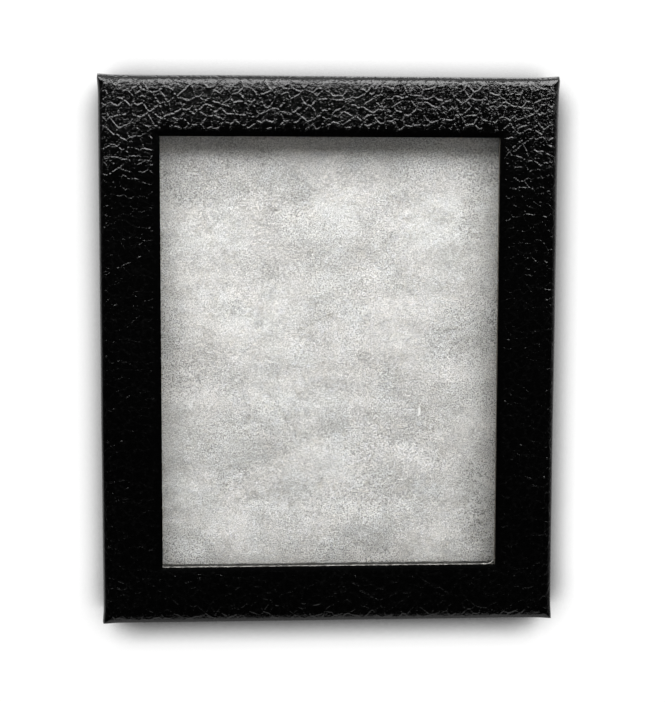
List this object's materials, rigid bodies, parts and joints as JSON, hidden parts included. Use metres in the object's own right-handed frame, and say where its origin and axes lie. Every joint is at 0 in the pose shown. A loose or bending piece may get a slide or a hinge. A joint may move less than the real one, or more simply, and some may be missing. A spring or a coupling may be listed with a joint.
{
  "type": "coin display case",
  "caption": "Shallow black cardboard display case with a glass-topped telescoping lid held by steel pins, over a tray filled with a soft fibre pad.",
  "frame": {"origin": "centre of the case in plan, on the face that it rests on when it lies on its back", "axes": "+Z out of the glass, +Y along the longer side towards the window's upper edge, +X along the shorter side"},
  "size_m": [0.128, 0.1524, 0.0191],
  "materials": {
    "chipboard": "matte",
    "leatherette_paper": "satin",
    "foot_paper": "matte",
    "gummed_tape": "satin",
    "window_glass": "gloss",
    "fiber_fill": "matte",
    "pin_steel": "satin"
  },
  "bodies": {
    "base": {"base_board": "chipboard", "base_wrap": "leatherette_paper", "base_foot_sheet": "foot_paper", "fiber_pad": "fiber_fill", "base_stay_upper_left": "gummed_tape", "base_stay_upper_right": "gummed_tape", "base_stay_lower_left": "gummed_tape", "base_stay_lower_right": "gummed_tape"},
    "lid": {"lid_board": "chipboard", "lid_wrap": "leatherette_paper", "glass_pane": "window_glass", "lid_stay_upper_left": "gummed_tape", "lid_stay_upper_right": "gummed_tape", "lid_stay_lower_left": "gummed_tape", "lid_stay_lower_right": "gummed_tape", "glass_tape_left": "gummed_tape", "glass_tape_right": "gummed_tape", "glass_tape_upper": "gummed_tape", "glass_tape_lower": "gummed_tape"},
    "pin_left_upper": {"pin_left_upper": "pin_steel"},
    "pin_left_lower": {"pin_left_lower": "pin_steel"},
    "pin_right_upper": {"pin_right_upper": "pin_steel"},
    "pin_right_lower": {"pin_right_lower": "pin_steel"}
  },
  "joints": [
    {"name": "lid_lift", "type": "slide", "parent": "base", "child": "lid", "axis": [0, 0, 1], "range_m": [0, 0.016]},
    {"name": "pin_left_upper_draw", "type": "slide", "parent": "lid", "child": "pin_left_upper", "axis": [-1, 0, 0], "range_m": [0, 0.048]},
    {"name": "pin_left_lower_draw", "type": "slide", "parent": "lid", "child": "pin_left_lower", "axis": [-1, 0, 0], "range_m": [0, 0.048]},
    {"name": "pin_right_upper_draw", "type": "slide", "parent": "lid", "child": "pin_right_upper", "axis": [1, 0, 0], "range_m": [0, 0.048]},
    {"name": "pin_right_lower_draw", "type": "slide", "parent": "lid", "child": "pin_right_lower", "axis": [1, 0, 0], "range_m": [0, 0.048]}
  ],
  "couplings": [
    {"joint": "pin_left_upper_draw", "follows": "lid_lift", "ratio": 3},
    {"joint": "pin_left_lower_draw", "follows": "lid_lift", "ratio": 3},
    {"joint": "pin_right_upper_draw", "follows": "lid_lift", "ratio": 3},
    {"joint": "pin_right_lower_draw", "follows": "lid_lift", "ratio": 3}
  ]
}
